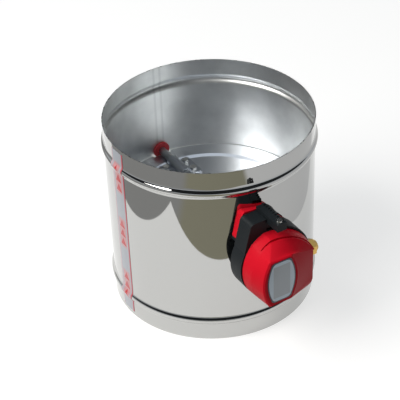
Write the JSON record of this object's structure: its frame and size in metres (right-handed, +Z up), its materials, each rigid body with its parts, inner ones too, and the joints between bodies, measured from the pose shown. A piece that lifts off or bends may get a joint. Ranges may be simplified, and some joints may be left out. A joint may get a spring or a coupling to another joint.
{
  "type": "duct damper",
  "caption": "Round motorised duct damper: beaded steel tube with a swinging disc blade on a cross shaft, driven by a geared actuator in a red and black case on the side.",
  "frame": {"origin": "centre of the lower end plane of the duct, on the duct's axis", "axes": "+Z up the duct's axis; the blade's shaft lies along Y; the actuator is on the -Y side, its gland towards +X"},
  "size_m": [0.2558, 0.3221, 0.24],
  "materials": {
    "polished_sheet": "mirror-polished stainless sheet outside, matt inside",
    "protective_film": "thin printed film",
    "blade_sheet": "smooth rolled stainless sheet",
    "plated_steel": "zinc-plated pressed steel",
    "fasteners": "bright zinc",
    "bright_bar": "drawn bright bar",
    "red_nylon": "moulded nylon",
    "red_plastic": "satin moulded plastic",
    "black_plastic": "fine-textured moulded plastic",
    "black_rubber": "soft rubber",
    "label_film": "satin polyester label, bare of print",
    "gland_brass": "turned brass",
    "gear_plastic": "natural acetal",
    "motor_steel": "drawn steel can",
    "board_laminate": "coated laminate",
    "terminal_green": "moulded plastic"
  },
  "bodies": {
    "duct": {"duct_shell": "polished_sheet", "film_strip": "protective_film", "far_bush": "red_nylon", "near_bush": "red_nylon", "far_bush_nut": "red_nylon", "near_bush_nut": "red_nylon", "thrust_washer": "fasteners", "back_plate": "red_plastic", "mounting_screws": "fasteners", "actuator_base": "black_plastic", "cap_seal": "black_rubber", "actuator_cap": "red_plastic", "cap_screws": "fasteners", "label_plate": "label_film", "ribbed_block": "black_plastic", "block_screw": "fasteners", "gland_body": "gland_brass", "gland_nut": "gland_brass", "gland_seal": "black_rubber", "gland_locknut": "gland_brass", "motor_plate": "plated_steel", "motor_can": "motor_steel", "motor_screws": "fasteners", "plate_screws": "fasteners", "closed_switch": "black_plastic", "open_switch": "black_plastic", "circuit_board": "board_laminate", "terminal_block": "terminal_green"},
    "blade": {"blade_plate": "blade_sheet", "far_saddle": "plated_steel", "near_saddle": "plated_steel", "far_seat_plate": "plated_steel", "near_seat_plate": "plated_steel", "clamp_bolts": "fasteners", "clamp_nuts": "fasteners", "shaft": "bright_bar", "output_gear": "gear_plastic", "gear_set_screw": "fasteners", "limit_cam": "gear_plastic", "retaining_ring": "fasteners"},
    "pinion": {"motor_pinion": "gland_brass"}
  },
  "joints": [
    {"name": "blade_swing", "type": "hinge", "parent": "duct", "child": "blade", "pos_m": [0, 0, 0.12], "axis": [0, 1, 0], "range_deg": [0, 90]},
    {"name": "pinion_spin", "type": "hinge", "parent": "duct", "child": "pinion", "pos_m": [-0.02659, -0.14, 0.12469], "axis": [0, 1, 0], "range_deg": [-270, 0]}
  ],
  "couplings": [
    {"joint": "pinion_spin", "follows": "blade_swing", "ratio": -3}
  ]
}
